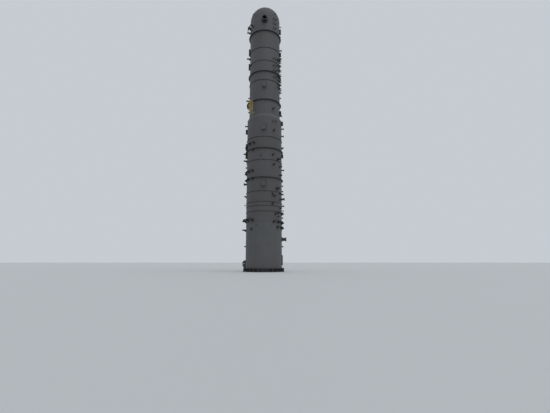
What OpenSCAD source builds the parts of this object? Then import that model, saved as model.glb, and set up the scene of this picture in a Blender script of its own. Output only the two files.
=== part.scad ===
// Distillation column as a 1:2 scale model: a shell of two diameters on a skirt, with a
// round top head, ring stiffeners, nozzles, manways, lifting trunnions and the brackets that
// later carry platforms, ladders and pipes. Millimetres, +Z up, origin at the middle of the
// base on the ground. Azimuths count from the front, which is -Y, towards +X.

/* [Shell] */
// Outside diameter of the skirt and the lower section
lower_od = 3000; // [2900:10:3150]
// Wall of the lower section
lower_t = 20; // [14:1:26]
// Height of one course of the lower section
lower_course_h = 1500; // [1400:10:1650]
// Outside diameter of the upper section and the top head
upper_od = 2700; // [2600:10:2800]
// Wall of the upper section and the top head
upper_t = 18; // [14:1:24]
// Height of one course of the upper section
upper_course_h = 1600; // [1500:10:1750]
// Height of the cone between the two sections
cone_h = 260; // [200:5:340]
// Depth of the bottom head below its straight edge
bottom_head_depth = 750; // [700:10:800]
// Straight edge of the bottom head
bottom_head_edge = 25; // [15:1:40]

/* [Skirt and base] */
// Height of the bottom tangent line above the ground
skirt_h = 4000; // [3850:10:4200]
// Wall of the skirt
skirt_t = 16; // [12:1:20]
// Thickness of the base ring
base_ring_t = 40; // [30:1:50]
// How far the base ring reaches inside the skirt
base_ring_in = 104; // [80:1:130]
// How far the base ring reaches outside the skirt
base_ring_out = 200; // [185:1:230]
// How many anchor bolts hold the base ring
anchor_bolts = 24; // [16:4:28]
// Distance from the skirt's outside to the anchor bolts
anchor_offset = 100; // [90:1:110]
// Diameter of an anchor bolt hole
anchor_hole_d = 44; // [30:1:50]
// Clear height of an anchor chair
chair_h = 240; // [200:5:280]
// Thickness of the ring on top of the anchor chairs
chair_ring_t = 25; // [18:1:32]
// Thickness of a chair gusset
gusset_t = 14; // [10:1:18]
// Clear width between the two gussets of a chair
gusset_gap = 110; // [90:1:130]
// Inside width of an access opening in the skirt
access_w = 350; // [320:5:380]
// Inside height of an access opening in the skirt
access_h = 800; // [740:10:860]
// Height of the middle of an access opening
access_z = 940; // [900:10:1000]
// Wall of an access collar
access_t = 14; // [10:1:18]
// How far an access collar stands out of the skirt
access_out = 70; // [50:5:90]
// Outside diameter of a skirt vent sleeve
vent_od = 57; // [45:1:70]
// How many vent sleeves the skirt has
vents = 8; // [4:2:12]
// Drop from the bottom tangent line to the vents
vent_drop = 280; // [240:5:320]

/* [Rings] */
// Radial width of a stiffening ring
stiffener_w = 125; // [100:1:150]
// Thickness of a stiffening ring
stiffener_t = 14; // [10:1:20]
// Radial width of a thin support ring
support_w = 40; // [25:1:55]
// Thickness of a thin support ring
support_t = 8; // [5:1:12]

/* [Bottom outlet] */
// Outside diameter of the bottom outlet pipe
outlet_od = 254; // [230:1:275]
// Wall of the bottom outlet pipe
outlet_t = 8; // [6:1:12]
// Bend radius of the bottom outlet elbow
outlet_bend_r = 381; // [340:1:410]
// Height of the bottom outlet's level run
outlet_z = 2650; // [2600:10:2700]
// Outside diameter of the bottom outlet flange
outlet_flange_od = 350; // [340:1:370]
// Thickness of the bottom outlet flange and its cover
outlet_flange_t = 22; // [16:1:28]
// Bolt circle of the bottom outlet flange
outlet_bolt_circle = 318; // [310:1:322]
// Diameter of a bolt hole of the bottom outlet flange
outlet_hole_d = 16; // [12:1:17]
// How many bolts the bottom outlet flange has
outlet_bolts = 20; // [12:4:20]
// How far the bottom outlet flange stands out of the skirt
outlet_out = 340; // [300:5:380]
// Clear gap round the bottom outlet pipe in its skirt sleeve
outlet_gap = 43; // [30:1:50]
// Wall of the sleeves in the skirt
sleeve_t = 8; // [5:1:11]

/* [Top outlet] */
// Outside diameter of the vapour outlet neck
vapour_od = 457; // [430:1:470]
// Wall of the vapour outlet neck
vapour_t = 10; // [6:1:14]
// Outside diameter of the vapour outlet flange
vapour_flange_od = 560; // [550:1:580]
// Thickness of the vapour outlet flange and its cover
vapour_flange_t = 24; // [18:1:30]
// Bolt circle of the vapour outlet flange
vapour_bolt_circle = 520; // [515:1:525]
// Diameter of a bolt hole of the vapour outlet flange
vapour_hole_d = 16; // [12:1:17]
// How many bolts the vapour outlet flange has
vapour_bolts = 24; // [16:4:24]
// Height of the vapour outlet's face above the top of the head
vapour_out = 150; // [130:5:180]

/* [Manways] */
// Outside diameter of a manway neck
manway_od = 305; // [290:1:315]
// Wall of a manway neck
manway_t = 10; // [7:1:14]
// Outside diameter of a manway flange and cover
manway_flange_od = 406; // [398:1:420]
// Thickness of a manway flange and cover
manway_flange_t = 24; // [18:1:30]
// Bolt circle of a manway flange
manway_bolt_circle = 375; // [370:1:378]
// Diameter of a bolt hole of a manway flange
manway_hole_d = 17; // [13:1:18]
// How many bolts a manway flange has
manway_bolts = 20; // [12:4:20]
// Diameter of the reinforcing pad round a manway neck
manway_pad_d = 520; // [480:10:560]
// How far a manway flange stands out of the shell
manway_out = 210; // [180:5:230]
// Diameter of the davit's post
davit_d = 24; // [18:1:28]
// Diameter of the davit's arm
davit_arm_d = 16; // [12:1:17]
// Height of the davit's arm above the middle of the cover
davit_h = 270; // [260:5:300]

/* [Small nozzles] */
// Outside diameter of a small nozzle's neck
small_od = 57; // [50:1:62]
// Outside diameter of a small nozzle's flange
small_flange_od = 115; // [108:1:122]
// Thickness of a small nozzle's flange and cover
small_flange_t = 12; // [9:1:15]
// Bolt circle of a small nozzle's flange
small_bolt_circle = 95; // [90:1:98]
// Diameter of a bolt hole of a small nozzle's flange
small_hole_d = 9; // [7:0.5:10]
// How many bolts a small nozzle's flange has
small_bolts = 8; // [4:4:8]
// How far a small nozzle stands out of the shell
small_out = 150; // [140:5:170]

/* [Medium nozzles] */
// Outside diameter of a medium nozzle's neck
medium_od = 110; // [100:1:118]
// Outside diameter of a medium nozzle's flange
medium_flange_od = 172; // [165:1:180]
// Thickness of a medium nozzle's flange and cover
medium_flange_t = 14; // [11:1:18]
// Bolt circle of a medium nozzle's flange
medium_bolt_circle = 149; // [145:1:152]
// Diameter of a bolt hole of a medium nozzle's flange
medium_hole_d = 11; // [9:0.5:12]
// How many bolts a medium nozzle's flange has
medium_bolts = 8; // [4:4:8]
// Diameter of the reinforcing pad round a medium nozzle's neck
medium_pad_d = 190; // [170:5:200]
// How far a medium nozzle stands out of the shell
medium_out = 190; // [170:5:210]

/* [Large nozzles] */
// Outside diameter of a large nozzle's neck
large_od = 162; // [150:1:172]
// Outside diameter of a large nozzle's flange
large_flange_od = 242; // [235:1:250]
// Thickness of a large nozzle's flange and cover
large_flange_t = 16; // [13:1:20]
// Bolt circle of a large nozzle's flange
large_bolt_circle = 216; // [212:1:220]
// Diameter of a bolt hole of a large nozzle's flange
large_hole_d = 13; // [11:0.5:14]
// How many bolts a large nozzle's flange has
large_bolts = 12; // [8:4:12]
// Diameter of the reinforcing pad round a large nozzle's neck
large_pad_d = 280; // [250:5:300]
// How far a large nozzle stands out of the shell
large_out = 230; // [210:5:250]
// Wall of a nozzle's neck
nozzle_t = 6; // [4:1:8]
// Thickness of the reinforcing pads round the necks
neck_pad_t = 10; // [8:1:14]

/* [Lifting gear] */
// Outside diameter of a lifting trunnion
trunnion_od = 380; // [350:5:400]
// Wall of a lifting trunnion
trunnion_t = 20; // [14:1:26]
// How far a lifting trunnion stands out of the shell
trunnion_out = 330; // [300:5:360]
// Diameter of the trunnion's keeper plate
keeper_od = 500; // [480:5:520]
// Thickness of the trunnion's keeper plate
keeper_t = 25; // [18:1:32]
// Diameter of the pad under a trunnion
pad_d = 660; // [620:5:700]
// Thickness of the pad under a trunnion
pad_t = 18; // [12:1:24]
// Thickness of a tailing lug's cheek plate
tailing_t = 25; // [18:1:32]
// Clear gap between the two tailing lug cheeks
tailing_gap = 110; // [90:1:130]
// Diameter of the tailing lug's pin hole
tailing_hole_d = 80; // [60:1:90]
// How far a tailing lug stands out of the skirt
tailing_out = 260; // [240:5:290]
// Height of a tailing lug
tailing_h = 620; // [560:10:680]
// Distance from the skirt to the middle of a tailing lug's pin hole
tailing_hole_out = 143; // [120:1:160]
// Height of a tailing lug's pin hole above the anchor chairs
tailing_hole_h = 341; // [300:1:370]
// Height of the upright outer edge of a tailing lug
tailing_edge_h = 248; // [200:4:280]

/* [Brackets and clips] */
// Thickness of the bracket and clip plates
plate_t = 10; // [7:1:13]
// Width of a platform bracket's top plate
bracket_w = 90; // [70:1:110]
// Depth of a platform bracket at the shell
bracket_depth = 260; // [230:5:280]
// Height of a bracket's outer end
bracket_tip_h = 110; // [90:5:130]
// Diameter of the two bolt holes in a bracket's top plate
bracket_hole_d = 11; // [9:0.5:13]
// Spacing of those two holes
bracket_hole_gap = 50; // [42:1:54]
// Distance from a bracket's outer end to its bolt holes
bracket_hole_in = 30; // [25:1:40]
// Radial width of the curved beams that join platform brackets
beam_w = 60; // [45:1:75]
// Height of those beams
beam_h = 60; // [45:1:75]
// Reach of a long platform bracket
long_reach = 320; // [280:5:350]
// Reach of a short platform bracket
short_reach = 190; // [160:5:220]
// Height of a shell cleat
cleat_h = 120; // [90:5:130]
// Reach of a shell cleat
cleat_reach = 130; // [100:5:160]
// Diameter of the hole in a shell cleat
cleat_hole_d = 18; // [14:1:22]
// Distance from a shell cleat's outer edge to its hole
cleat_hole_in = 45; // [38:1:50]
// Leg of a ladder clip's angle
clip_leg = 45; // [35:1:55]
// Reach of a ladder clip
clip_reach = 170; // [150:5:190]
// Width of a pipe guide's upright
guide_w = 90; // [75:1:110]
// Clear gap between the shell and a pipe guide's upright
guide_gap = 75; // [65:5:95]
// Thickness of a pipe guide's upright
guide_t = 60; // [45:1:75]

/* [Landing and ladder] */
// Thickness of the landing's floor
landing_t = 20; // [14:1:26]
// Width of the landing from its inner to its outer edge
landing_w = 215; // [190:5:240]
// Gap between the shell and the landing's inner edge
landing_gap = 30; // [20:1:45]
// Height of the landing's edge plate
landing_edge_h = 55; // [40:1:75]
// Angle that the landing covers
landing_angle = 46; // [42:1:48]
// Clear width between the ladder's rails
ladder_w = 200; // [180:1:215]
// Width of a ladder rail
rail_w = 32; // [24:1:40]
// Thickness of a ladder rail
rail_t = 8; // [6:1:11]
// Diameter of a ladder rung
rung_d = 11; // [9:0.5:14]
// Spacing of the ladder rungs
rung_step = 150; // [130:5:170]
// How many rungs the ladder has
rungs = 8; // [6:1:8]
// Clear gap between the ladder and the stiffening ring behind it
ladder_gap = 45; // [30:5:70]
// Inside diameter of the ladder's cage
cage_d = 350; // [330:5:370]
// Width of a cage bar
cage_bar_w = 30; // [22:1:36]
// Thickness of a cage bar
cage_bar_t = 5; // [4:0.5:7]

/* [Hidden] */

// Courses in each section
courses = 6;
// How far a bore may reach past a seam into the next course, as a share of a course
seam_lap = 0.1;
// Gap left where a piece is welded on a curved face
seat = 0.3;
// How far a piece is drawn into the wall before the wall's curve trims it
bite = 12;
// Extra length of a cutter past the face it goes through
past = 10;
// Sides drawn on large and on small round pieces
$fn = 180;
small_fn = 32;
// Steps along a quarter of the bottom head's ellipse
head_steps = 20;

lower_r = lower_od / 2;
upper_r = upper_od / 2;
lower_top = skirt_h + courses * lower_course_h;
upper_foot = lower_top + cone_h;
upper_top = upper_foot + courses * upper_course_h;
head_line = skirt_h - bottom_head_edge;
outlet_face = lower_r + outlet_out;
outlet_sleeve_r = outlet_od / 2 + outlet_gap + sleeve_t;
chair_top = base_ring_t + chair_h + chair_ring_t;
anchor_r = lower_r + anchor_offset;

// Heights in the tables are counted in shell courses: on the lower section from the bottom
// tangent line, and on the upper section from the top of the cone
function lower_z(n) = skirt_h + n * lower_course_h;
function upper_z(n) = upper_foot + n * upper_course_h;

// Whether a bore at height n, counted in courses, can cut course i
function cuts_course(n, i) = n > i - 1 - seam_lap && n < i + seam_lap;

// Columns of a flange size
NECK = 0;
FLANGE = 1;
THICK = 2;
CIRCLE = 3;
HOLE = 4;
COUNT = 5;
OUT = 6;
WALL = 7;
PAD = 8;
small_size = [small_od, small_flange_od, small_flange_t, small_bolt_circle, small_hole_d,
    small_bolts, small_out, nozzle_t, 0];
medium_size = [medium_od, medium_flange_od, medium_flange_t, medium_bolt_circle,
    medium_hole_d, medium_bolts, medium_out, nozzle_t, medium_pad_d];
large_size = [large_od, large_flange_od, large_flange_t, large_bolt_circle, large_hole_d,
    large_bolts, large_out, nozzle_t, large_pad_d];
manway_size = [manway_od, manway_flange_od, manway_flange_t, manway_bolt_circle,
    manway_hole_d, manway_bolts, manway_out, manway_t, manway_pad_d];

// Height, azimuth and size of each nozzle
lower_nozzles = [
    [5.713, 29, small_size], [5.713, 39, small_size], [5.185, 33, medium_size],
    [3.743, 30, medium_size], [3.649, -9, small_size], [3.550, 51, large_size],
    [3.193, 33, medium_size], [3.149, 62, medium_size], [2.651, 62, medium_size],
    [1.850, 47, large_size], [1.420, 35, medium_size], [1.267, 64, medium_size],
    [0.985, 29, medium_size], [0.430, 40, medium_size],
    [5.750, -88, medium_size], [3.560, -79, small_size], [2.240, -90, large_size],
    [1.010, -90, small_size],
    [5.600, 90, medium_size], [5.150, 90, medium_size], [3.080, 90, medium_size],
    [1.380, 90, large_size], [0.975, 90, medium_size], [0.700, 90, small_size],
    [5.500, 200, medium_size], [3.180, 180, large_size], [1.400, 160, medium_size]
];
upper_nozzles = [
    [5.740, -90, large_size], [5.780, 90, small_size], [4.259, 90, medium_size],
    [0.230, 90, medium_size], [0.330, 34, medium_size], [2.800, 180, medium_size]
];
lower_manways = [5.257, 2.047];
upper_manways = [1.606];

// Platform brackets joined by a curved beam: height of their tops, first and last azimuth, how
// many and their reach
lower_bracket_groups = [
    [4.460, -90, -31, 4, short_reach], [4.460, 90, 225, 6, short_reach],
    [2.860, -90, -36, 4, short_reach], [2.860, 135, 225, 4, short_reach],
    [0.137, -90, -35, 4, long_reach], [0.137, 135, 225, 4, short_reach],
    [0.030, 33, 88, 4, short_reach], [-0.253, 47, 90, 3, short_reach]
];
upper_bracket_groups = [
    [5.440, -90, -50, 3, long_reach], [3.769, 90, 225, 6, short_reach]
];

// Height, azimuth and reach of each bracket that stands alone
lower_bracket_rows = [
    [4.085, -90, long_reach], [4.085, -36, short_reach], [3.690, -93, long_reach],
    [2.418, -76, short_reach], [2.418, -56, short_reach], [2.418, -36, short_reach],
    [1.560, -90, short_reach], [1.560, 28, short_reach],
    [0.558, 52, short_reach], [0.558, 71, short_reach], [0.558, 90, short_reach],
    [-0.350, -90, long_reach], [-0.350, -39, short_reach]
];
upper_bracket_rows = [
    [5.440, 130, short_reach], [5.440, 230, short_reach], [3.769, -90, long_reach],
    [1.160, -90, long_reach]
];

// Height and azimuth of each shell cleat
lower_cleats = [
    [5.410, -90], [4.650, -90], [3.850, 90], [3.220, -90], [2.140, 90],
    [1.824, 90], [1.600, 60], [0.770, 62], [0.300, 90], [0.300, 52],
    [-1.300, -90], [-1.300, 90], [5.000, 150], [3.900, 170], [2.100, 200]
];
upper_cleats = [
    [5.150, 90], [3.050, -60], [1.300, -90], [1.300, 90], [0.440, -90], [4.400, 150],
    [2.100, 200]
];
head_cleats = [44, -50, 160, 230];

// Azimuth of each column of ladder clip pairs on the upper section, and their heights
clip_columns = [
    [84, [1.600, 1.790, 2.060, 2.260, 2.640, 2.920, 3.230, 3.470]],
    [62, [1.700, 1.880, 2.150, 2.340, 2.760, 3.020, 3.350]],
    [40, [2.200, 2.580, 2.880, 3.300, 5.200, 5.480, 5.760]]
];
// Foot, top and azimuth of each pipe guide on the upper section
guide_rows = [[3.810, 4.240, -80], [3.030, 3.420, -90], [5.230, 5.560, 84]];

// Height of each ring, lower ones first
lower_stiffeners = [2.433, 4.100];
upper_stiffeners = [0.806, 2.4625, 4.931];
lower_supports = [0.567, 0.867, 1.083, 1.667, 3.433, 4.767];
upper_supports = [1.9625, 3.119, 3.900];

trunnion_n = 5.600;
landing_n = 0.780;
landing_az = -77;
landing_bracket_az = [-19, 0, 19];
ladder_az = -44;
cage_bar_az = [-100, -60, -20, 20, 60, 100];
tailing_az = -90;
access_az = [90, 180];
outlet_az = 90;
manway_az = 0;

landing_z = upper_z(landing_n);
ladder_r = upper_r + stiffener_w + ladder_gap;
ladder_h = rungs * rung_step;
ladder_foot = landing_z - ladder_h - rung_step / 4;
// The davit's post stands clear of the flange, in a lug on the flange's rim
davit_y = manway_flange_od / 2 + davit_d;
lug_h = 30;

primer = [0.29, 0.30, 0.30];
dark_primer = [0.20, 0.20, 0.21];
pale_primer = [0.36, 0.36, 0.37];
safety_yellow = [0.80, 0.62, 0.10];

// Puts a piece, drawn outward along +X at height 0, at its azimuth and height
module at(az, z) {
    translate([0, 0, z]) rotate([0, 0, az - 90]) children();
}

// A plain cylinder lying along +X from one radius to another
module radial_rod(d, from, to, sides = small_fn) {
    translate([from, 0, 0]) rotate([0, 90, 0]) cylinder(d = d, h = to - from, $fn = sides);
}

// A ring of holes along +X on a bolt circle, straddling the centre lines
module radial_holes(circle_d, hole_d, count, from, to) {
    for (i = [0:count - 1])
        rotate([(i + 0.5) * 360 / count, 0, 0]) translate([0, 0, circle_d / 2])
            radial_rod(hole_d, from, to, small_fn);
}

// A tube standing on the ground plane's frame
module tube(outer_r, wall, from, to) {
    difference() {
        translate([0, 0, from]) cylinder(r = outer_r, h = to - from);
        translate([0, 0, from - past]) cylinder(r = outer_r - wall, h = to - from + 2 * past);
    }
}

// The room that a section's shell takes, which trims what is welded on it
module lower_room() {
    translate([0, 0, base_ring_t]) cylinder(r = lower_r + seat, h = lower_top - base_ring_t);
}

module upper_room() {
    translate([0, 0, upper_foot]) cylinder(r = upper_r + seat, h = upper_top - upper_foot);
}

// A round pad of a given thickness that lies on a shell of radius r
module shell_pad(r, d, thick) {
    intersection() {
        radial_rod(d, r / 2, 2 * r, $fn);
        cylinder(r = r + thick, h = 2 * d, center = true);
    }
}

// A flanged neck on a shell of radius r, with its pad, its bore and its bolt holes
module flanged_neck(r, size) {
    face = r + size[OUT];
    difference() {
        union() {
            radial_rod(size[NECK], r - bite, face - size[THICK] / 2, $fn);
            radial_rod(size[FLANGE], face - size[THICK], face, $fn);
            if (size[PAD] > 0)
                shell_pad(r, size[PAD], neck_pad_t);
        }
        radial_rod(size[NECK] - 2 * size[WALL], r - bite - past, face + past, $fn);
        radial_holes(size[CIRCLE], size[HOLE], size[COUNT], face - size[THICK] - past,
            face + past);
    }
}

// The bolted cover of a flange whose face is at radius r + size[OUT]
module flange_cover(r, size) {
    face = r + size[OUT];
    difference() {
        radial_rod(size[FLANGE], face, face + size[THICK], $fn);
        radial_holes(size[CIRCLE], size[HOLE], size[COUNT], face - past,
            face + size[THICK] + past);
    }
}

// The hole that a neck's bore makes in a shell of radius r and a given wall
module bore_hole(r, wall, size) {
    radial_rod(size[NECK] - 2 * size[WALL], r - wall - 2 * bite, r + past, $fn);
}

module base_ring() {
    color(dark_primer) difference() {
        cylinder(r = lower_r + base_ring_out, h = base_ring_t);
        translate([0, 0, -past])
            cylinder(r = lower_r - skirt_t - base_ring_in, h = base_ring_t + 2 * past);
        anchor_holes(0, base_ring_t);
    }
}

module anchor_holes(from, to) {
    for (i = [0:anchor_bolts - 1])
        rotate([0, 0, (i + 0.5) * 360 / anchor_bolts]) translate([anchor_r, 0, from - past])
            cylinder(d = anchor_hole_d, h = to - from + 2 * past, $fn = small_fn);
}

// Two upright plates on each side of every anchor bolt
module anchor_gussets() {
    reach = base_ring_out - 2 * past;
    foot = [lower_r - bite, base_ring_t];
    color(dark_primer) difference() {
        for (i = [0:anchor_bolts - 1], side = [-1, 1])
            rotate([0, 0, (i + 0.5) * 360 / anchor_bolts])
                translate([0, side * (gusset_gap + gusset_t) / 2, 0])
                    rotate([90, 0, 0]) linear_extrude(gusset_t, center = true)
                        polygon([foot, [lower_r + reach, base_ring_t],
                            [lower_r + reach, base_ring_t + chair_h],
                            [foot[0], base_ring_t + chair_h]]);
        translate([0, 0, base_ring_t - past])
            cylinder(r = lower_r + seat, h = chair_h + 2 * past);
    }
}

module chair_ring() {
    foot = base_ring_t + chair_h;
    color(dark_primer) difference() {
        tube(lower_r + base_ring_out - past, base_ring_out - past - seat, foot, chair_top);
        anchor_holes(foot, chair_top);
    }
}

// Radius and height of a point on the bottom head's outline, grown by a given amount
function head_point(a, grow) =
    [(lower_r + grow) * cos(a), head_line - (bottom_head_depth + grow) * sin(a)];

// Height of the skirt's bevelled top edge at a radius, along the head's tangent there
function bevel_z(r) =
    let (mid = (lower_r - skirt_t / 2) / lower_r, drop = sqrt(1 - mid * mid))
    head_line - bottom_head_depth * drop - seat
        + (r - mid * lower_r) * bottom_head_depth / lower_r * mid / drop;

module skirt() {
    inner_r = lower_r - skirt_t;
    color(pale_primer) difference() {
        rotate_extrude() polygon([[inner_r, base_ring_t], [lower_r, base_ring_t],
            [lower_r, bevel_z(lower_r)], [inner_r, bevel_z(inner_r)]]);
        for (az = access_az)
            at(az, access_z) obround_bar(access_w + 2 * (access_t + seat),
                access_h + 2 * (access_t + seat), inner_r - 4 * past, lower_r + 2 * past);
        at(outlet_az, outlet_z)
            radial_rod(2 * (outlet_sleeve_r + seat), inner_r - 4 * past, lower_r + past, $fn);
        for (i = [0:vents - 1])
            at((i + 0.5) * 360 / vents, skirt_h - vent_drop)
                radial_rod(vent_od + 2 * seat, inner_r - past, lower_r + past);
    }
}

// An upright slot shape with round ends, lying along +X
module obround_bar(w, h, from, to) {
    translate([from, -w / 2, w / 2 - h / 2]) cube([to - from, w, h - w]);
    for (end = [-1, 1])
        translate([0, 0, end * (h - w) / 2]) radial_rod(w, from, to, $fn);
}

module access_collars() {
    from = lower_r - skirt_t - 2 * past;
    to = lower_r + access_out;
    color(dark_primer) for (az = access_az)
        at(az, access_z) difference() {
            obround_bar(access_w + 2 * access_t, access_h + 2 * access_t, from, to);
            obround_bar(access_w, access_h, from - past, to + past);
        }
}

// Short sleeves through the skirt: the vents and the one round the bottom outlet
module skirt_sleeves() {
    from = lower_r - skirt_t - 2 * past;
    color(dark_primer) {
        for (i = [0:vents - 1])
            at((i + 0.5) * 360 / vents, skirt_h - vent_drop) difference() {
                radial_rod(vent_od, from, lower_r + 3 * past);
                radial_rod(vent_od - sleeve_t, from - past, lower_r + 4 * past);
            }
        at(outlet_az, outlet_z) difference() {
            radial_rod(2 * outlet_sleeve_r, from, lower_r + 6 * past, $fn);
            radial_rod(2 * (outlet_sleeve_r - sleeve_t), from - past, lower_r + 7 * past, $fn);
        }
    }
}

module bottom_head() {
    outer = [for (i = [0:head_steps]) head_point(90 * i / head_steps, 0)];
    inner = [for (i = [head_steps:-1:0]) head_point(90 * i / head_steps, -lower_t)];
    color(primer) difference() {
        rotate_extrude() polygon(concat([[lower_r, skirt_h]], outer, inner,
            [[lower_r - lower_t, skirt_h]]));
        translate([0, 0, head_line - bottom_head_depth - past])
            cylinder(d = outlet_od - 2 * outlet_t, h = 6 * past);
    }
}

// Outlet from the bottom head, round an elbow and out through the skirt
module bottom_outlet() {
    color(primer) {
        difference() {
            outlet_form(outlet_od);
            outlet_form(outlet_od - 2 * outlet_t, past);
            rotate_extrude() polygon(concat([[0, skirt_h]], [[lower_r, skirt_h]],
                [for (i = [0:head_steps]) head_point(90 * i / head_steps, seat)]));
            at(outlet_az, outlet_z) radial_holes(outlet_bolt_circle, outlet_hole_d,
                outlet_bolts, outlet_face - outlet_flange_t - past, outlet_face + past);
        }
    }
}

module outlet_form(d, extra = 0) {
    elbow_top = outlet_z + outlet_bend_r;
    translate([0, 0, elbow_top])
        cylinder(d = d, h = head_line - bottom_head_depth + 3 * past - elbow_top);
    at(outlet_az, 0) {
        translate([outlet_bend_r, 0, elbow_top]) rotate([90, 0, 0])
            rotate([0, 0, 180]) rotate_extrude(angle = 90)
                translate([outlet_bend_r, 0]) circle(d = d);
        translate([0, 0, outlet_z]) {
            radial_rod(d, outlet_bend_r, outlet_face + extra, $fn);
            if (extra == 0)
                radial_rod(outlet_flange_od, outlet_face - outlet_flange_t, outlet_face, $fn);
        }
    }
}

module lower_course(i) {
    color(primer) difference() {
        tube(lower_r, lower_t, lower_z(i - 1), lower_z(i));
        for (row = lower_nozzles)
            if (cuts_course(row[0], i))
                at(row[1], lower_z(row[0])) bore_hole(lower_r, lower_t, row[2]);
        for (n = lower_manways)
            if (cuts_course(n, i))
                at(manway_az, lower_z(n)) bore_hole(lower_r, lower_t, manway_size);
    }
}

module transition_cone() {
    color(pale_primer) difference() {
        translate([0, 0, lower_top]) cylinder(r1 = lower_r, r2 = upper_r, h = cone_h);
        translate([0, 0, lower_top])
            cylinder(r1 = lower_r - lower_t, r2 = upper_r - upper_t, h = cone_h);
    }
}

module upper_course(i) {
    color(primer) difference() {
        tube(upper_r, upper_t, upper_z(i - 1), upper_z(i));
        for (row = upper_nozzles)
            if (cuts_course(row[0], i))
                at(row[1], upper_z(row[0])) bore_hole(upper_r, upper_t, row[2]);
        for (n = upper_manways)
            if (cuts_course(n, i))
                at(manway_az, upper_z(n)) bore_hole(upper_r, upper_t, manway_size);
    }
}

module top_head() {
    color(primer) translate([0, 0, upper_top]) difference() {
        sphere(r = upper_r);
        sphere(r = upper_r - upper_t);
        translate([0, 0, -2 * upper_r]) cube(4 * upper_r, center = true);
        cylinder(d = vapour_od - 2 * vapour_t, h = upper_r + past);
    }
}

module vapour_nozzle() {
    face = upper_r + vapour_out;
    foot = sqrt(upper_r * upper_r - vapour_od * vapour_od / 4) - past;
    color(primer) translate([0, 0, upper_top]) difference() {
        union() {
            translate([0, 0, foot])
                cylinder(d = vapour_od, h = face - foot - vapour_flange_t / 2);
            translate([0, 0, face - vapour_flange_t])
                cylinder(d = vapour_flange_od, h = vapour_flange_t);
        }
        sphere(r = upper_r + seat);
        cylinder(d = vapour_od - 2 * vapour_t, h = face + past);
        vapour_holes(face - vapour_flange_t, face);
    }
}

module vapour_holes(from, to) {
    for (i = [0:vapour_bolts - 1])
        rotate([0, 0, (i + 0.5) * 360 / vapour_bolts])
            translate([vapour_bolt_circle / 2, 0, from - past])
                cylinder(d = vapour_hole_d, h = to - from + 2 * past, $fn = small_fn);
}

module stiffener_ring(z, r) {
    color(dark_primer)
        tube(r + seat + stiffener_w, stiffener_w, z - stiffener_t / 2, z + stiffener_t / 2);
}

module support_rings() {
    color(dark_primer) {
        for (n = lower_supports)
            tube(lower_r + seat + support_w, support_w,
                lower_z(n) - support_t / 2, lower_z(n) + support_t / 2);
        for (n = upper_supports)
            tube(upper_r + seat + support_w, support_w,
                upper_z(n) - support_t / 2, upper_z(n) + support_t / 2);
    }
}

// Lifting trunnion: a round pad, a heavy pipe and a keeper plate at its end
module trunnion(az) {
    face = upper_r + trunnion_out;
    color(primer) at(az, upper_z(trunnion_n)) difference() {
        union() {
            shell_pad(upper_r, pad_d, pad_t);
            radial_rod(trunnion_od, upper_r - bite, face, $fn);
            radial_rod(keeper_od, face - keeper_t, face, $fn);
        }
        cylinder(r = upper_r + seat, h = 3 * pad_d, center = true);
        radial_rod(trunnion_od - 2 * trunnion_t, upper_r + pad_t + past, face + past, $fn);
    }
}

// Two cheek plates with a pin hole, standing on the chair ring
module tailing_lugs() {
    top = chair_top + tailing_h;
    hole = [lower_r + tailing_hole_out, chair_top + tailing_hole_h];
    color(dark_primer) difference() {
        at(tailing_az, 0) for (side = [-1, 1])
            translate([0, side * (tailing_gap + tailing_t) / 2, 0])
                rotate([90, 0, 0]) linear_extrude(tailing_t, center = true)
                    difference() {
                        polygon([[lower_r - bite, chair_top],
                            [lower_r + tailing_out / 2, chair_top],
                            [lower_r + tailing_out, hole[1] - tailing_edge_h / 2],
                            [lower_r + tailing_out, hole[1] + tailing_edge_h / 2],
                            [lower_r + tailing_out / 2, top], [lower_r - bite, top]]);
                        translate(hole) circle(d = tailing_hole_d);
                    }
        lower_room();
    }
}

module manway_necks() {
    color(primer) {
        difference() {
            for (n = lower_manways)
                at(manway_az, lower_z(n)) manway_neck(lower_r);
            lower_room();
        }
        difference() {
            for (n = upper_manways)
                at(manway_az, upper_z(n)) manway_neck(upper_r);
            upper_room();
        }
    }
}

module manway_neck(r) {
    face = r + manway_out;
    flanged_neck(r, manway_size);
    difference() {
        translate([face - manway_flange_t, manway_flange_od / 2 - bite, -lug_h / 2])
            cube([manway_flange_t, bite + 2 * davit_d, lug_h]);
        translate([face - manway_flange_t / 2, davit_y, -lug_h])
            cylinder(d = davit_d / 2 + 2 * seat, h = 2 * lug_h, $fn = small_fn);
    }
}

module manway_covers() {
    color(primer) {
        for (n = lower_manways)
            at(manway_az, lower_z(n)) flange_cover(lower_r, manway_size);
        for (n = upper_manways)
            at(manway_az, upper_z(n)) flange_cover(upper_r, manway_size);
    }
}

module manway_davits() {
    color(primer) {
        for (n = lower_manways)
            at(manway_az, lower_z(n)) davit(lower_r);
        for (n = upper_manways)
            at(manway_az, upper_z(n)) davit(upper_r);
    }
}

// Bent rod that carries the cover: a pin in the lug, a post, an arm and a hanger
module davit(r) {
    post_x = r + manway_out - manway_flange_t / 2;
    hang_x = r + manway_out + manway_flange_t / 2;
    arm = [hang_x - post_x, -davit_y];
    translate([post_x, davit_y, -lug_h])
        cylinder(d = davit_d / 2, h = 2 * lug_h, $fn = small_fn);
    translate([post_x, davit_y, lug_h / 2])
        cylinder(d = davit_d, h = davit_h - lug_h / 2, $fn = small_fn);
    translate([post_x, davit_y, davit_h]) sphere(d = davit_d, $fn = small_fn);
    translate([post_x, davit_y, davit_h]) rotate([0, 90, atan2(arm[1], arm[0])])
        cylinder(d = davit_arm_d, h = norm(arm), $fn = small_fn);
    translate([hang_x, 0, davit_h]) sphere(d = davit_d, $fn = small_fn);
    translate([hang_x, 0, manway_flange_od / 2 + seat])
        cylinder(d = davit_d / 2, h = davit_h - manway_flange_od / 2, $fn = small_fn);
}

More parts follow.
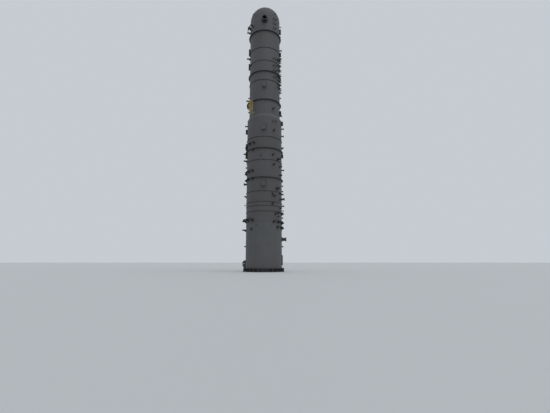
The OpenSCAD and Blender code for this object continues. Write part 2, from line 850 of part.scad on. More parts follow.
module nozzles() {
    color(primer) {
        difference() {
            for (row = lower_nozzles)
                at(row[1], lower_z(row[0])) flanged_neck(lower_r, row[2]);
            lower_room();
        }
        difference() {
            for (row = upper_nozzles)
                at(row[1], upper_z(row[0])) flanged_neck(upper_r, row[2]);
            upper_room();
        }
    }
}

// Covers bolted on every nozzle, on the bottom outlet and on the vapour outlet
module flange_covers() {
    color(dark_primer) {
        for (row = lower_nozzles)
            at(row[1], lower_z(row[0])) flange_cover(lower_r, row[2]);
        for (row = upper_nozzles)
            at(row[1], upper_z(row[0])) flange_cover(upper_r, row[2]);
        at(outlet_az, outlet_z) difference() {
            radial_rod(outlet_flange_od, outlet_face, outlet_face + outlet_flange_t, $fn);
            radial_holes(outlet_bolt_circle, outlet_hole_d, outlet_bolts,
                outlet_face - past, outlet_face + outlet_flange_t + past);
        }
        translate([0, 0, upper_top]) difference() {
            translate([0, 0, upper_r + vapour_out])
                cylinder(d = vapour_flange_od, h = vapour_flange_t);
            vapour_holes(upper_r + vapour_out, upper_r + vapour_out + vapour_flange_t);
        }
    }
}

// Cantilever bracket whose top face is at height 0: a drilled plate over a tapered web
module bracket(r, reach) {
    difference() {
        translate([r - bite, -bracket_w / 2, -plate_t])
            cube([reach + bite, bracket_w, plate_t]);
        for (side = [-1, 1])
            translate([r + reach - bracket_hole_in, side * bracket_hole_gap / 2, -2 * plate_t])
                cylinder(d = bracket_hole_d, h = 3 * plate_t, $fn = small_fn);
    }
    rotate([90, 0, 0]) linear_extrude(plate_t, center = true)
        polygon([[r - bite, -plate_t / 2], [r + reach, -plate_t / 2],
            [r + reach, -bracket_tip_h], [r + reach / 2, -bracket_tip_h],
            [r - bite, -bracket_depth]]);
}

// Brackets spread evenly between two azimuths, with a curved angle beam on their top plates
module bracket_group(r, z, group) {
    from = group[1];
    to = group[2];
    reach = group[4];
    beam_r = r + reach - bracket_hole_in - bracket_hole_d - past;
    lap = asin(bracket_w / 2 / r);
    for (i = [0:group[3] - 1])
        at(from + i * (to - from) / (group[3] - 1), z) bracket(r, reach);
    at(from - lap, z) rotate_extrude(angle = to - from + 2 * lap)
        polygon([[beam_r - beam_w, -plate_t / 2], [beam_r, -plate_t / 2], [beam_r, beam_h],
            [beam_r - plate_t, beam_h], [beam_r - plate_t, plate_t / 2],
            [beam_r - beam_w, plate_t / 2]]);
}

module lower_brackets() {
    color(primer) difference() {
        union() {
            for (group = lower_bracket_groups)
                bracket_group(lower_r, lower_z(group[0]), group);
            for (row = lower_bracket_rows)
                at(row[1], lower_z(row[0])) bracket(lower_r, row[2]);
        }
        lower_room();
    }
}

module upper_brackets() {
    color(primer) difference() {
        union() {
            for (group = upper_bracket_groups)
                bracket_group(upper_r, upper_z(group[0]), group);
            for (row = upper_bracket_rows)
                at(row[1], upper_z(row[0])) bracket(upper_r, row[2]);
            for (turn = landing_bracket_az)
                at(landing_az + turn, landing_z - landing_t)
                    bracket(upper_r, landing_gap + landing_w - past);
        }
        upper_room();
    }
}

// Upright plate with clipped corners and one hole
module cleat(r) {
    tip = r + cleat_reach;
    clip = cleat_h / 4;
    rotate([90, 0, 0]) linear_extrude(plate_t, center = true) difference() {
        polygon([[r - bite, -cleat_h / 2], [tip - clip, -cleat_h / 2],
            [tip, clip - cleat_h / 2], [tip, cleat_h / 2 - clip],
            [tip - clip, cleat_h / 2], [r - bite, cleat_h / 2]]);
        translate([tip - cleat_hole_in, 0]) circle(d = cleat_hole_d, $fn = small_fn);
    }
}

module shell_cleats() {
    color(primer) {
        difference() {
            for (row = lower_cleats)
                at(row[1], lower_z(row[0])) cleat(lower_r);
            lower_room();
        }
        difference() {
            for (row = upper_cleats)
                at(row[1], upper_z(row[0])) cleat(upper_r);
            upper_room();
        }
        translate([0, 0, upper_top]) difference() {
            for (az = head_cleats)
                at(az, 0) rotate([0, -atan2(cleat_h, upper_r) * 2, 0]) cleat(upper_r);
            sphere(r = upper_r + seat);
        }
    }
}

// Pairs of short angles that will hold a ladder's rails
module ladder_clips() {
    color(primer) difference() {
        for (column = clip_columns, n = column[1], side = [-1, 1])
            at(column[0], upper_z(n))
                translate([upper_r - 2 * bite, side * ladder_w / 2, 0])
                    rotate([90, 0, 90]) linear_extrude(clip_reach + 2 * bite)
                        polygon([[0, 0], [side * clip_leg, 0], [side * clip_leg, plate_t],
                            [side * plate_t, plate_t], [side * plate_t, clip_leg],
                            [0, clip_leg]]);
        upper_room();
    }
}

// An upright held off the shell by an arm at each end
module pipe_guides() {
    color(primer) difference() {
        for (row = guide_rows)
            at(row[2], upper_z(row[0])) {
                long = upper_z(row[1]) - upper_z(row[0]);
                translate([upper_r + guide_gap, -guide_w / 2, 0]) cube([guide_t, guide_w, long]);
                for (z = [0, long - guide_w / 2])
                    translate([upper_r - bite, -guide_w / 4, z])
                        cube([bite + guide_gap + guide_t / 2, guide_w / 2, guide_w / 2]);
            }
        upper_room();
    }
}

// Curved floor with an edge plate along its outer rim
module landing_platform() {
    inner = upper_r + landing_gap;
    outer = inner + landing_w;
    color(dark_primer) at(landing_az - landing_angle / 2, landing_z - landing_t)
        rotate_extrude(angle = landing_angle)
            polygon([[inner, 0], [outer, 0], [outer, landing_edge_h],
                [outer - plate_t, landing_edge_h], [outer - plate_t, landing_t],
                [inner, landing_t]]);
}

// Two rails, the rungs between them and the arms that hold them to the shell
module ladder() {
    color(safety_yellow) difference() {
        at(ladder_az, ladder_foot) {
            for (side = [-1, 1]) {
                translate([ladder_r, side * (ladder_w + rail_t) / 2 - rail_t / 2, 0])
                    cube([rail_w, rail_t, ladder_h]);
                for (n = [1, rungs - 1])
                    translate([upper_r - 2 * bite,
                        side * (ladder_w + rail_t) / 2 - rail_t / 2, n * rung_step])
                        cube([ladder_r + rail_w / 2 - upper_r + 2 * bite, rail_t, rail_w]);
            }
            for (i = [0:rungs - 1])
                translate([ladder_r + rail_w / 2, 0, (i + 0.5) * rung_step])
                    rotate([90, 0, 0])
                        cylinder(d = rung_d, h = ladder_w + rail_t, center = true,
                            $fn = small_fn);
        }
        upper_room();
    }
}

// Hoops round the climber and the flat bars that join them, set against the rails' fronts
module ladder_cage() {
    front = ladder_r + rail_w + seat;
    hoop_r = cage_d / 2;
    middle = front + sqrt(hoop_r * hoop_r - ladder_w * ladder_w / 4);
    open_angle = acos((middle - front) / (hoop_r + cage_bar_t));
    first = 2 * rung_step;
    last = (rungs - 0.5) * rung_step;
    color(safety_yellow) at(ladder_az, ladder_foot) difference() {
        union() {
            for (z = [first, (first + last) / 2, last])
                translate([middle, 0, z]) difference() {
                    cylinder(r = hoop_r + cage_bar_t, h = cage_bar_w);
                    translate([0, 0, -past]) cylinder(r = hoop_r, h = cage_bar_w + 2 * past);
                }
            for (a = cage_bar_az)
                translate([middle, 0, first]) rotate([0, 0, a])
                    translate([hoop_r - cage_bar_t / 2, -cage_bar_w / 2, 0])
                        cube([cage_bar_t, cage_bar_w, last - first + cage_bar_w]);
        }
        translate([front - cage_d, -cage_d, 0]) cube([cage_d, 2 * cage_d, 2 * ladder_h]);
    }
}

base_ring();
anchor_gussets();
chair_ring();
skirt();
access_collars();
skirt_sleeves();
bottom_head();
bottom_outlet();
for (i = [1:courses])
    lower_course(i);
transition_cone();
for (i = [1:courses])
    upper_course(i);
top_head();
vapour_nozzle();
for (i = [1:len(lower_stiffeners)])
    stiffener_ring(lower_z(lower_stiffeners[i - 1]), lower_r);
for (i = [1:len(upper_stiffeners)])
    stiffener_ring(upper_z(upper_stiffeners[i - 1]), upper_r);
support_rings();
trunnion(0);  // trunnion_front
trunnion(180);  // trunnion_rear
tailing_lugs();
manway_necks();
manway_covers();
manway_davits();
nozzles();
flange_covers();
lower_brackets();
upper_brackets();
shell_cleats();
ladder_clips();
pipe_guides();
landing_platform();
ladder();
ladder_cage();
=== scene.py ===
import math

import bmesh
import bpy
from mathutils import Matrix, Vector


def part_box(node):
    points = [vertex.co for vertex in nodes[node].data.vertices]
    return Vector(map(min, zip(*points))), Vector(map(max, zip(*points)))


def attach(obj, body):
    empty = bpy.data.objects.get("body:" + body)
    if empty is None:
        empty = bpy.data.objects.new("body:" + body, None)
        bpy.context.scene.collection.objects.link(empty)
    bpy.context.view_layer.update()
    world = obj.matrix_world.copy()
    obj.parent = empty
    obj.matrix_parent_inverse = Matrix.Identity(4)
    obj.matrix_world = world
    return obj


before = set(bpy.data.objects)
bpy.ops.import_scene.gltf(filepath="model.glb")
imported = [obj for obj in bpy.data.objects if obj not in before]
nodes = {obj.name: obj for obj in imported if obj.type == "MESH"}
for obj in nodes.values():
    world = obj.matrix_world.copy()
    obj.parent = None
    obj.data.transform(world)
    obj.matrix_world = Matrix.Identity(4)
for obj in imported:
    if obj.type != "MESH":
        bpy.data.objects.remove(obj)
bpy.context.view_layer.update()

courseCount = 6
seamTurns = {"lower": 47.0, "upper": 63.0}  # degrees from one course's upright seam to the next


# Sizes read from the frame: they place every weld, bolt and colour band
def sectionSizes(section):
    low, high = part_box(section + "_course_2")
    foot, top = (corner.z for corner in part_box(section + "_course_1"))
    course = top - foot
    return {"radius": (high.x - low.x) / 2, "foot": foot, "course": course,
            "top": foot + courseCount * course, "seamTurn": seamTurns[section]}


lower = sectionSizes("lower")
upper = sectionSizes("upper")
print("stage: frame read, lower radius", round(lower["radius"], 3), "upper", round(upper["radius"], 3))


# Unit vectors of a place on the shell: outward, sideways and up. Azimuth 0 is the front, -Y
def shellAxes(azimuth):
    a = math.radians(azimuth)
    return Vector((math.sin(a), -math.cos(a), 0)), Vector((math.cos(a), math.sin(a), 0)), Vector((0, 0, 1))


def azimuthOf(point):
    return math.degrees(math.atan2(point.x, -point.y))


mergeDistance = 1e-5


# The separate solids of a CAD node, each with its box, middle, azimuth and reach from the axis
def solidsOf(name):
    shape = bmesh.new()
    shape.from_mesh(nodes[name].data)
    bmesh.ops.remove_doubles(shape, verts=shape.verts, dist=mergeDistance)
    shape.verts.ensure_lookup_table()
    seen = set()
    found = []
    for start in shape.verts:
        if start.index in seen:
            continue
        seen.add(start.index)
        queue = [start]
        points = []
        while queue:
            vert = queue.pop()
            points.append(vert.co.copy())
            for edge in vert.link_edges:
                other = edge.other_vert(vert)
                if other.index not in seen:
                    seen.add(other.index)
                    queue.append(other)
        low = Vector([min(p[i] for p in points) for i in range(3)])
        high = Vector([max(p[i] for p in points) for i in range(3)])
        middle = (low + high) / 2
        found.append({"low": low, "high": high, "middle": middle, "azimuth": azimuthOf(middle),
                      "reach": max(math.hypot(p.x, p.y) for p in points)})
    shape.free()
    return found


# A wire is a socket with arithmetic: every operator adds a Math node to its graph
class Wire:
    def __init__(self, graph, socket):
        self.graph = graph
        self.socket = socket

    def math(self, operation, *others, clamp=False):
        settings = {"operation": operation, "use_clamp": clamp}
        values = {0: self}
        values.update({i + 1: value for i, value in enumerate(others)})
        return self.graph.add("ShaderNodeMath", settings, values)

    def __add__(self, other):
        return self.math("ADD", other)

    def __sub__(self, other):
        return self.math("SUBTRACT", other)

    def __mul__(self, other):
        return self.math("MULTIPLY", other)

    def __truediv__(self, other):
        return self.math("DIVIDE", other)

    def __rsub__(self, other):
        return self.graph.add("ShaderNodeMath", {"operation": "SUBTRACT"}, {0: other, 1: self})

    def __rtruediv__(self, other):
        return self.graph.add("ShaderNodeMath", {"operation": "DIVIDE"}, {0: other, 1: self})

    __radd__ = __add__
    __rmul__ = __mul__

    def clamped(self):
        return self.math("ADD", 0.0, clamp=True)

    # 0 below low, 1 above high, smooth between
    def band(self, low, high):
        settings = {"interpolation_type": "SMOOTHSTEP"}
        return self.graph.add("ShaderNodeMapRange", settings, {0: self, 1: low, 2: high, 3: 0.0, 4: 1.0})


# A material's node graph
class Graph:
    def __init__(self, name):
        self.material = bpy.data.materials.new(name)
        self.material.use_nodes = True
        self.tree = self.material.node_tree
        self.tree.nodes.clear()
        place = self.add("ShaderNodeTexCoord", output="Object")
        self.place = place
        parts = self.add("ShaderNodeSeparateXYZ", inputs={0: place}, output=None)
        self.x, self.y, self.z = (Wire(self, socket) for socket in parts.outputs)

    # Adds a node: its settings first, then what its sockets are set or linked to
    def add(self, kind, settings=None, inputs=None, output=0):
        node = self.tree.nodes.new(kind)
        for key, value in (settings or {}).items():
            if key == "stops":
                fillRamp(node.color_ramp, value)
            else:
                setattr(node, key, value)
        for key, value in (inputs or {}).items():
            if isinstance(value, Wire):
                self.tree.links.new(value.socket, node.inputs[key])
            else:
                node.inputs[key].default_value = value
        return node if output is None else Wire(self, node.outputs[output])

    # The object's own coordinates, stretched by a factor along each axis
    def stretched(self, factors):
        return self.add("ShaderNodeMapping", inputs={0: self.place, 3: factors})

    def noise(self, where, scale, detail, roughness, distortion=0.0):
        values = {"Vector": where, "Scale": scale, "Detail": detail, "Roughness": roughness,
                  "Distortion": distortion}
        return self.add("ShaderNodeTexNoise", {"noise_dimensions": "3D"}, values)

    def ramp(self, factor, stops):
        return self.add("ShaderNodeValToRGB", {"stops": stops}, {0: factor})

    def mix(self, factor, first, second, blend="MIX"):
        settings = {"data_type": "RGBA", "blend_type": blend}
        return self.add("ShaderNodeMix", settings, {0: factor, 6: first, 7: second}, output=2)

    def bump(self, height, strength, distance):
        return self.add("ShaderNodeBump", inputs={"Strength": strength, "Distance": distance,
                                                  "Height": height})

    def finish(self, colour, roughness, normal=None, metallic=0.0, coat=0.0):
        values = {"Base Color": colour, "Roughness": roughness, "Metallic": metallic,
                  "Coat Weight": coat}
        if normal:
            values["Normal"] = normal
        shader = self.add("ShaderNodeBsdfPrincipled", inputs=values)
        self.add("ShaderNodeOutputMaterial", inputs={"Surface": shader}, output=None)
        return self.material


def fillRamp(ramp, stops):
    while len(ramp.elements) < len(stops):
        ramp.elements.new(0.5)
    for element, (position, colour) in zip(ramp.elements, stops):
        element.position = position
        element.color = colour


def grey(value, warm=0.0):
    return (value * (1 + warm), value, value * (1 - warm), 1)


# Painted plate: shop primer with a tint for each course, rain streaks, dust, a touched-up
# band along every seam and rust that runs from the rings
shellPaint = {
    "tints": [(0.0, grey(0.93, 0.015)), (0.35, grey(1.0, -0.02)), (0.7, grey(1.04, 0.0)),
              (1.0, grey(0.97, -0.015))],
    "violet": (0.077, 0.069, 0.082, 1), "green": (0.066, 0.077, 0.073, 1), "hueScale": 0.4,
    "hueAmount": 0.5,
    "dust": grey(0.13, 0.02), "dustAmount": 0.22, "cloudScale": 0.7,
    "speckScale": 14.0, "speckAmount": 0.5,
    "streak": grey(0.048, -0.02), "streakAmount": 0.4, "streakStretch": (9.0, 9.0, 0.32),
    "paleAmount": 0.22, "paleStretch": (14.0, 14.0, 0.22),
    "touchUp": grey(0.086, -0.02), "touchUpHalfWidth": 0.075, "touchUpAmount": 0.5,
    "raggedScale": 6.0, "raggedDepth": 0.05,
    "rust": (0.085, 0.045, 0.028, 1), "rustAmount": 0.2, "rustStretch": (5.0, 5.0, 0.5),
    "rustReach": 0.35,
    "roughness": 0.62, "cloudGloss": 0.25, "speckGloss": 0.2,
    "grainScale": 90.0, "grainHeight": 0.15, "waveScale": 1.6, "waveHeight": 1.4,
    "bumpStrength": 0.35, "bumpDistance": 0.004,
}


def plateMaterial(name, section, look):
    g = Graph(name)
    inCourses = (g.z - section["foot"]) / section["course"]
    index = inCourses.math("FLOOR")
    toSeam = inCourses.math("PINGPONG", 0.5) * section["course"]
    tint = g.add("ShaderNodeTexWhiteNoise", {"noise_dimensions": "1D"}, {"W": index}, output="Value")
    paint = g.mix(1.0, look["base"], g.ramp(tint, look["tints"]), "MULTIPLY")
    hue = g.noise(g.place, look["hueScale"], 3.0, 0.5)
    paint = g.mix(hue.band(0.48, 0.66) * look["hueAmount"], paint, look["violet"])
    paint = g.mix((1 - hue.band(0.32, 0.5)) * look["hueAmount"], paint, look["green"])
    cloud = g.noise(g.place, look["cloudScale"], 5.0, 0.62)
    paint = g.mix((cloud - 0.45) * look["dustAmount"] * 2, paint, look["dust"])
    specks = g.noise(g.place, look["speckScale"], 6.0, 0.7)
    paint = g.mix((specks - 0.5).math("ABSOLUTE") * look["speckAmount"], paint, look["dust"])
    runs = g.noise(g.stretched(look["streakStretch"]), 1.0, 5.0, 0.65)
    paint = g.mix(runs.band(0.52, 0.75) * look["streakAmount"], paint, look["streak"])
    paleRuns = g.noise(g.stretched(look["paleStretch"]), 1.0, 4.0, 0.6, 0.3)
    paint = g.mix(paleRuns.band(0.6, 0.8) * look["paleAmount"], paint, look["dust"])
    # The touched-up bands: round the column at each seam, and up each course at its own azimuth
    ragged = g.noise(g.place, look["raggedScale"], 4.0, 0.6) * look["raggedDepth"]
    halfWidth = look["touchUpHalfWidth"]
    seam = 1 - (toSeam + ragged).band(halfWidth * 0.8, halfWidth * 1.4)
    angle = g.x.math("ARCTAN2", g.y * -1.0) * (180 / math.pi)
    turned = ((angle - index * section["seamTurn"] + 720.0) / 360.0).math("FRACT")
    along = turned.math("PINGPONG", 0.5) * (math.tau * section["radius"])
    longSeam = 1 - (along + ragged).band(halfWidth * 0.7, halfWidth * 1.3)
    band = seam.math("MAXIMUM", longSeam)
    paint = g.mix(band * look["touchUpAmount"], paint, look["touchUp"])
    rustCloud = g.noise(g.stretched(look["rustStretch"]), 1.0, 6.0, 0.7)
    rustNear = 1 - toSeam.band(0.0, section["course"] * look["rustReach"])
    paint = g.mix(rustCloud.band(0.56, 0.72) * rustNear * look["rustAmount"], paint, look["rust"])
    gloss = look["roughness"] + (cloud - 0.5) * look["cloudGloss"] + (specks - 0.5) * look["speckGloss"]
    grain = g.noise(g.place, look["grainScale"], 3.0, 0.5)
    waves = g.noise(g.place, look["waveScale"], 2.0, 0.5)
    normal = g.bump(grain * look["grainHeight"] + waves * look["waveHeight"], look["bumpStrength"],
                    look["bumpDistance"])
    return g.finish(paint, gloss.clamped(), normal)


# Primer on smaller steelwork: blotches, dark runs and chips that have gone to rust
primer = {"blotchScale": 3.0, "blotchAmount": 0.6, "paler": 1.6, "chipScale": 28.0,
          "rust": (0.07, 0.035, 0.022, 1), "runStretch": (16.0, 16.0, 1.2), "runAmount": 0.35,
          "runShade": (0.6, 0.5, 0.45), "grainScale": 160.0, "grainHeight": 0.3, "chipHeight": -0.6,
          "bumpStrength": 0.4, "bumpDistance": 0.0015}


def primerMaterial(name, base, wear, warm=0.0, roughness=0.6):
    g = Graph(name)
    blotch = g.noise(g.place, primer["blotchScale"], 5.0, 0.6)
    fine = g.noise(g.place, primer["chipScale"], 6.0, 0.7)
    paint = g.mix((blotch - 0.4) * primer["blotchAmount"], grey(base, warm),
                  grey(base * primer["paler"], warm + 0.03))
    chips = fine.band(0.62, 0.68)
    paint = g.mix(chips * wear, paint, primer["rust"])
    runs = g.noise(g.stretched(primer["runStretch"]), 1.0, 4.0, 0.6)
    runColour = (*(base * shade for shade in primer["runShade"]), 1)
    paint = g.mix(runs.band(0.55, 0.75) * primer["runAmount"], paint, runColour)
    gloss = roughness + (blotch - 0.5) * 0.3 + chips * 0.2
    grain = g.noise(g.place, primer["grainScale"], 3.0, 0.5)
    normal = g.bump(grain * primer["grainHeight"] + chips * primer["chipHeight"], primer["bumpStrength"],
                    primer["bumpDistance"])
    return g.finish(paint, gloss.clamped(), normal)


# Machined or galvanised steel, for bolts and weld beads
steel = {"spotScale": 20.0, "rust": (0.12, 0.055, 0.03, 1), "fineScale": 120.0, "fineAmount": 0.5,
         "paler": 1.5, "bumpStrength": 0.5, "bumpDistance": 0.001}


def steelMaterial(name, base, metallic, rust, roughness):
    g = Graph(name)
    spots = g.noise(g.place, steel["spotScale"], 5.0, 0.65)
    fine = g.noise(g.place, steel["fineScale"], 4.0, 0.6)
    colour = g.mix(spots.band(0.5, 0.7) * rust, grey(base), steel["rust"])
    colour = g.mix((fine - 0.4) * steel["fineAmount"], colour, grey(base * steel["paler"]))
    gloss = roughness + (spots - 0.5) * 0.3
    normal = g.bump(fine, steel["bumpStrength"], steel["bumpDistance"])
    return g.finish(colour, gloss.clamped(), normal, metallic)


# Yellow paint of the short ladder and its cage: faded, with brown runs and chips
yellowPaint = {"base": (0.46, 0.31, 0.075, 1), "faded": (0.50, 0.39, 0.17, 1), "fadeScale": 5.0,
               "fadeAmount": 0.9, "run": (0.16, 0.09, 0.02, 1), "runStretch": (30.0, 30.0, 1.5),
               "runAmount": 0.45, "chip": (0.07, 0.04, 0.02, 1), "chipScale": 45.0, "roughness": 0.45,
               "grainHeight": 0.3, "chipHeight": -0.8, "bumpStrength": 0.4, "bumpDistance": 0.001,
               "coat": 0.15}


def yellowMaterial(name, look):
    g = Graph(name)
    blotch = g.noise(g.place, look["fadeScale"], 5.0, 0.6)
    fine = g.noise(g.place, look["chipScale"], 6.0, 0.7)
    runs = g.noise(g.stretched(look["runStretch"]), 1.0, 4.0, 0.6)
    paint = g.mix((blotch - 0.35) * look["fadeAmount"], look["base"], look["faded"])
    paint = g.mix(runs.band(0.52, 0.72) * look["runAmount"], paint, look["run"])
    chips = fine.band(0.6, 0.66)
    paint = g.mix(chips, paint, look["chip"])
    gloss = look["roughness"] + blotch * 0.2 + chips * 0.3
    normal = g.bump(fine * look["grainHeight"] + chips * look["chipHeight"], look["bumpStrength"],
                    look["bumpDistance"])
    return g.finish(paint, gloss.clamped(), normal, coat=look["coat"])


# One material for each finish, then a finish for every CAD node. Each plate has its own base colour
conePaint = {**shellPaint, "base": grey(0.098, -0.01), "streakAmount": 0.2}
coneCourses = {**upper, "seamTurn": seamTurns["lower"]}  # the cone continues the lower section
finishes = {
    "lowerPlate": plateMaterial("lowerPlate", lower, {**shellPaint, "base": grey(0.071, 0.008)}),
    "upperPlate": plateMaterial("upperPlate", upper, {**shellPaint, "base": grey(0.074, -0.015)}),
    "skirtPlate": plateMaterial("skirtPlate", lower, {**shellPaint, "base": grey(0.092, -0.02)}),
    "conePlate": plateMaterial("conePlate", coneCourses, conePaint),
    "basePrimer": primerMaterial("basePrimer", 0.045, 0.4),
    # The stiffener and support rings' primers are painted far darker than the shell: painted shade that
    # stands in for their shaded undersides and the shadow beneath them
    "ringPrimerPaintedShade": primerMaterial("ringPrimerPaintedShade", 0.024, 0.3),
    "thinRingPrimerPaintedShade": primerMaterial("thinRingPrimerPaintedShade", 0.017, 0.25),
    # Primer for clips, guides, landing, davits, handles and every other unlisted piece, painted far darker
    # than the shell: painted shade for the shadow in and under these brackets
    "clipPrimerPaintedShade": primerMaterial("clipPrimerPaintedShade", 0.018, 0.3),
    # Nozzle necks and blind covers get primers far darker than the shell: painted shade standing in for the
    # shaded undersides of the projecting nozzles
    "neckPrimerPaintedShade": primerMaterial("neckPrimerPaintedShade", 0.024, 0.25),
    "coverPrimerPaintedShade": primerMaterial("coverPrimerPaintedShade", 0.022, 0.35, 0.04, 0.55),
    "manwayPrimer": primerMaterial("manwayPrimer", 0.076, 0.2, -0.01),
    # The trunnions' primer is painted nearly black: painted shade for the trunnion's shaded underside and
    # the shadow it casts on the shell
    "trunnionPrimerPaintedShade": primerMaterial("trunnionPrimerPaintedShade", 0.015, 0.25),
    "yellowPaint": yellowMaterial("yellowPaint", yellowPaint),
    "weldSteel": steelMaterial("weldSteel", 0.07, 0.25, 0.4, 0.55),
    "boltSteel": steelMaterial("boltSteel", 0.12, 0.6, 0.55, 0.5),
}
nodeFinish = {
    "skirt": "skirtPlate", "bottom_head": "lowerPlate", "transition_cone": "conePlate",
    "top_head": "upperPlate", "vapour_nozzle": "neckPrimerPaintedShade", "bottom_outlet": "neckPrimerPaintedShade",
    "manway_necks": "manwayPrimer", "nozzles": "neckPrimerPaintedShade", "manway_covers": "manwayPrimer",
    "flange_covers": "coverPrimerPaintedShade", "manway_davits": "clipPrimerPaintedShade", "trunnion_front": "trunnionPrimerPaintedShade",
    "trunnion_rear": "trunnionPrimerPaintedShade", "ladder": "yellowPaint", "ladder_cage": "yellowPaint",
    "support_rings": "thinRingPrimerPaintedShade", "base_ring": "basePrimer", "anchor_gussets": "basePrimer",
    "chair_ring": "basePrimer", "access_collars": "basePrimer", "skirt_sleeves": "basePrimer",
    "tailing_lugs": "basePrimer",
}
for name, node in nodes.items():
    if name.startswith("lower_course"):
        kind = "lowerPlate"
    elif name.startswith("upper_course"):
        kind = "upperPlate"
    elif name.startswith("stiffener"):
        kind = "ringPrimerPaintedShade"
    else:
        kind = nodeFinish.get(name, "clipPrimerPaintedShade")
    node.data.materials.clear()
    node.data.materials.append(finishes[kind])
print("stage: materials on", len(nodes), "nodes")


# Runs a node tree on a source object, keeps the result as a plain mesh and drops the source
def growMesh(name, source, tree, values):
    modifier = source.modifiers.new("grow", "NODES")
    modifier.node_group = tree
    for item in tree.interface.items_tree:
        if item.item_type == "SOCKET" and item.in_out == "INPUT" and item.name in values:
            modifier[item.identifier] = values[item.name]
    evaluated = source.evaluated_get(bpy.context.evaluated_depsgraph_get())
    mesh = bpy.data.meshes.new_from_object(evaluated)
    mesh.name = name
    source.modifiers.remove(modifier)
    bpy.data.objects.remove(source)
    piece = bpy.data.objects.new(name, mesh)
    bpy.context.scene.collection.objects.link(piece)
    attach(piece, "root")
    print("piece", name, "triangles", sum(len(p.vertices) - 2 for p in mesh.polygons))


# A small helper round a geometry node tree
class Growth:
    def __init__(self, name, inputs):
        self.tree = bpy.data.node_groups.new(name, "GeometryNodeTree")
        self.tree.interface.new_socket("Geometry", in_out="INPUT", socket_type="NodeSocketGeometry")
        for label, kind, value in inputs:
            socket = self.tree.interface.new_socket(label, in_out="INPUT", socket_type=kind)
            socket.default_value = value
        self.tree.interface.new_socket("Geometry", in_out="OUTPUT", socket_type="NodeSocketGeometry")
        self.entry = self.tree.nodes.new("NodeGroupInput")
        self.exit = self.tree.nodes.new("NodeGroupOutput")

    def input(self, label):
        return self.entry.outputs[label]

    def add(self, kind, settings=None, inputs=None, output=0):
        node = self.tree.nodes.new(kind)
        for key, value in (settings or {}).items():
            setattr(node, key, value)
        for key, value in (inputs or {}).items():
            if isinstance(value, bpy.types.NodeSocket):
                self.tree.links.new(value, node.inputs[key])
            else:
                node.inputs[key].default_value = value
        return node.outputs[output]

    def join(self, shapes):
        node = self.tree.nodes.new("GeometryNodeJoinGeometry")
        for shape in shapes:
            self.tree.links.new(shape, node.inputs[0])
        return node.outputs[0]

    def close(self, shape, material):
        real = self.add("GeometryNodeRealizeInstances", inputs={0: shape})
        painted = self.add("GeometryNodeSetMaterial", inputs={0: real, "Material": material})
        self.tree.links.new(painted, self.exit.inputs[0])
        return self.tree


# A bead swept along edges, with a ripple from a fixed noise
def beadTree(name, material):
    growth = Growth(name, [
        ("Bead radius", "NodeSocketFloat", 0.007), ("Step", "NodeSocketFloat", 0.02),
        ("Ripple", "NodeSocketFloat", 0.0012), ("Ripple scale", "NodeSocketFloat", 40.0),
        ("Sides", "NodeSocketInt", 6)])
    line = growth.add("GeometryNodeMeshToCurve", inputs={0: growth.input("Geometry")})
    even = growth.add("GeometryNodeResampleCurve", {"mode": "LENGTH"},
                      {"Curve": line, "Length": growth.input("Step")})
    ring = growth.add("GeometryNodeCurvePrimitiveCircle", {"mode": "RADIUS"},
                      {"Resolution": growth.input("Sides"), "Radius": growth.input("Bead radius")})
    bead = growth.add("GeometryNodeCurveToMesh", inputs={"Curve": even, "Profile Curve": ring,
                                                         "Fill Caps": True})
    wave = growth.add("ShaderNodeTexNoise", {"noise_dimensions": "3D"},
                      {"Scale": growth.input("Ripple scale"), "Detail": 1.0}, output="Color")
    centred = growth.add("ShaderNodeVectorMath", {"operation": "SUBTRACT"},
                         {0: wave, 1: (0.5, 0.5, 0.5)})
    moved = growth.add("ShaderNodeVectorMath", {"operation": "SCALE"},
                       {0: centred, "Scale": growth.input("Ripple")})
    rippled = growth.add("GeometryNodeSetPosition", inputs={"Geometry": bead, "Offset": moved})
    return growth.close(rippled, material)


# A source object of open or closed lines
def lineObject(name, lines):
    mesh = bpy.data.meshes.new(name)
    points = []
    edges = []
    for line, closed in lines:
        first = len(points)
        points += line
        edges += [(first + i, first + i + 1) for i in range(len(line) - 1)]
        if closed:
            edges.append((first + len(line) - 1, first))
    mesh.from_pydata(points, edges, [])
    source = bpy.data.objects.new(name, mesh)
    bpy.context.scene.collection.objects.link(source)
    return source


# Weld beads: their sizes and where they run. A lift sets a fillet off the plate it lies on
weldBeads = {
    "seamRadius": 0.010, "seamSink": 0.006, "seamStep": 0.03, "seamSides": 6, "seamPoints": 40,
    "filletRadius": 0.006, "filletStep": 0.024, "filletSides": 5, "circlePoints": 180,
    "ringStep": 0.05, "ringLift": 0.002, "thinRingLift": 0.001, "ripple": 0.002, "rippleScale": 30.0,
    "petals": 8, "petalTurn": 22.5, "petalPoints": 30, "crownRise": 58.0,
    "skirtSeams": (-25.0, 140.0), "skirtMiddle": 0.52, "chairPlateHalf": 0.009, "chairLift": 0.001,
}


def circleLine(radius, height):
    turns = [math.tau * i / weldBeads["circlePoints"] for i in range(weldBeads["circlePoints"])]
    return [(radius * math.sin(t), -radius * math.cos(t), height) for t in turns]


# Where a round neck meets a round shell: a saddle-shaped loop
def saddleLine(azimuth, height, shellRadius, neckRadius, count):
    out, side, up = shellAxes(azimuth)
    line = []
    for i in range(count):
        t = math.tau * i / count
        across = neckRadius * math.cos(t)
        depth = math.sqrt(shellRadius ** 2 - across ** 2)
        line.append(out * depth + side * across + up * (height + neckRadius * math.sin(t)))
    return line


